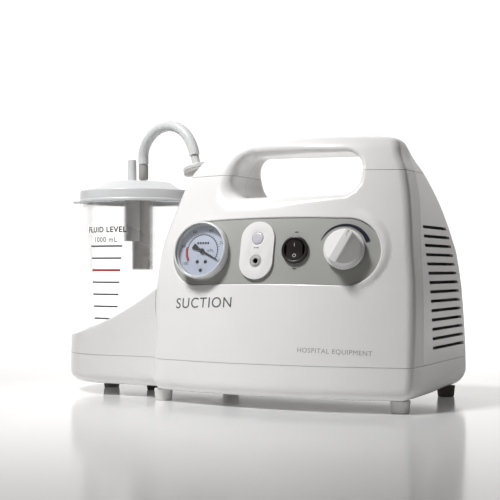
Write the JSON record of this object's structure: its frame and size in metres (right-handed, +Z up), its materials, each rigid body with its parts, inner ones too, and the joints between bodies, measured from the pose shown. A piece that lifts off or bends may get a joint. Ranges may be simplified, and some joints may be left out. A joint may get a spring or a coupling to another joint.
{
  "type": "suction pump",
  "caption": "Portable electric suction pump: white housing with a through handle, vacuum gauge, switch and regulator knob, and a lidded clear collection jar in a holder at its left end.",
  "frame": {"origin": "on the ground under the middle of the object's box, with the jar end towards -X", "axes": "+Z up, -Y out of the control panel, +X towards the vented end"},
  "size_m": [0.373, 0.186, 0.2638],
  "materials": {
    "white_plastic": "smooth satin white moulding",
    "grey_plastic": "matt mid grey moulding",
    "black_plastic": "black moulding",
    "lid_plastic": "pale grey translucent moulding",
    "clear_plastic": "clear moulding",
    "lilac_lens": "unlit indicator lens",
    "dial_face": "printed dial",
    "pale_rubber": "pale grey rubber",
    "black_rubber": "black rubber",
    "hose_vinyl": "translucent soft vinyl",
    "aluminium": "die cast",
    "steel": "plain steel",
    "board_green": "circuit board"
  },
  "bodies": {
    "root": {"base_tray": "white_plastic", "front_shell": "white_plastic", "rear_shell": "white_plastic", "handle_front_cover": "white_plastic", "handle_rear_cover": "white_plastic", "jar_holder": "white_plastic", "control_panel": "grey_plastic", "foot_front_left": "pale_rubber", "foot_front_right": "pale_rubber", "foot_rear_left": "pale_rubber", "foot_rear_right": "pale_rubber", "foot_jar_outer": "pale_rubber", "foot_jar_inner": "pale_rubber", "gauge_case": "black_plastic", "gauge_bezel": "white_plastic", "gauge_dial": "dial_face", "gauge_window": "clear_plastic", "indicator_plate": "white_plastic", "indicator_lens": "lilac_lens", "auxiliary_jack": "black_plastic", "switch_body": "black_plastic", "valve_body": "aluminium", "filter_lower": "lid_plastic", "filter_upper": "lid_plastic", "filter_elbow": "grey_plastic", "mount_plate": "steel", "damper_1": "black_rubber", "damper_2": "black_rubber", "damper_3": "black_rubber", "damper_4": "black_rubber", "crankcase": "aluminium", "motor_end_bell": "aluminium", "stator": "steel", "bearing_left": "steel", "bearing_right": "steel", "cylinder": "aluminium", "cylinder_head": "aluminium", "transformer": "steel", "power_board": "board_green", "power_inlet": "black_plastic"},
    "knob": {"vacuum_knob": "white_plastic", "valve_stem": "steel"},
    "rocker": {"switch_rocker": "black_plastic"},
    "needle": {"gauge_needle": "black_plastic"},
    "jar": {"jar": "clear_plastic"},
    "lid": {"jar_lid": "lid_plastic", "lid_seal": "pale_rubber", "drop_tube": "lid_plastic", "float_chamber": "lid_plastic", "hose_sleeve": "grey_plastic", "suction_hose": "hose_vinyl"},
    "float": {"float_valve": "lid_plastic"},
    "shaft": {"rotor": "steel", "motor_shaft": "steel", "cooling_fan": "black_plastic", "eccentric": "steel"},
    "piston": {"piston_rod": "aluminium"}
  },
  "joints": [
    {"name": "knob_turn", "type": "hinge", "parent": "root", "child": "knob", "pos_m": [0.1255, -0.06676, 0.1346], "axis": [0.1652, -0.9641, 0.2079], "range_deg": [-62, 88]},
    {"name": "switch_rock", "type": "hinge", "parent": "root", "child": "rocker", "pos_m": [0.0826, -0.07165, 0.1346], "axis": [-0.9984, -0.0565, 0], "range_deg": [0, 16]},
    {"name": "needle_sweep", "type": "hinge", "parent": "root", "child": "needle", "pos_m": [-0.0073, -0.06743, 0.1338], "axis": [0, -0.9781, 0.2079], "range_deg": [0, 242], "stiffness_Nm_per_rad": 0.00002},
    {"name": "jar_lift", "type": "slide", "parent": "root", "child": "jar", "axis": [0, 0, 1], "range_m": [0, 0.09]},
    {"name": "lid_lift", "type": "slide", "parent": "jar", "child": "lid", "axis": [0, 0, 1], "range_m": [0, 0.085]},
    {"name": "float_rise", "type": "slide", "parent": "lid", "child": "float", "axis": [0, 0, 1], "range_m": [0, 0.045]},
    {"name": "shaft_turn", "type": "hinge", "parent": "root", "child": "shaft", "pos_m": [0.06, 0.025, 0.092], "axis": [1, 0, 0], "continuous": true},
    {"name": "piston_stroke", "type": "slide", "parent": "root", "child": "piston", "axis": [0, 0, 1], "range_m": [-0.004, 0.004]}
  ]
}
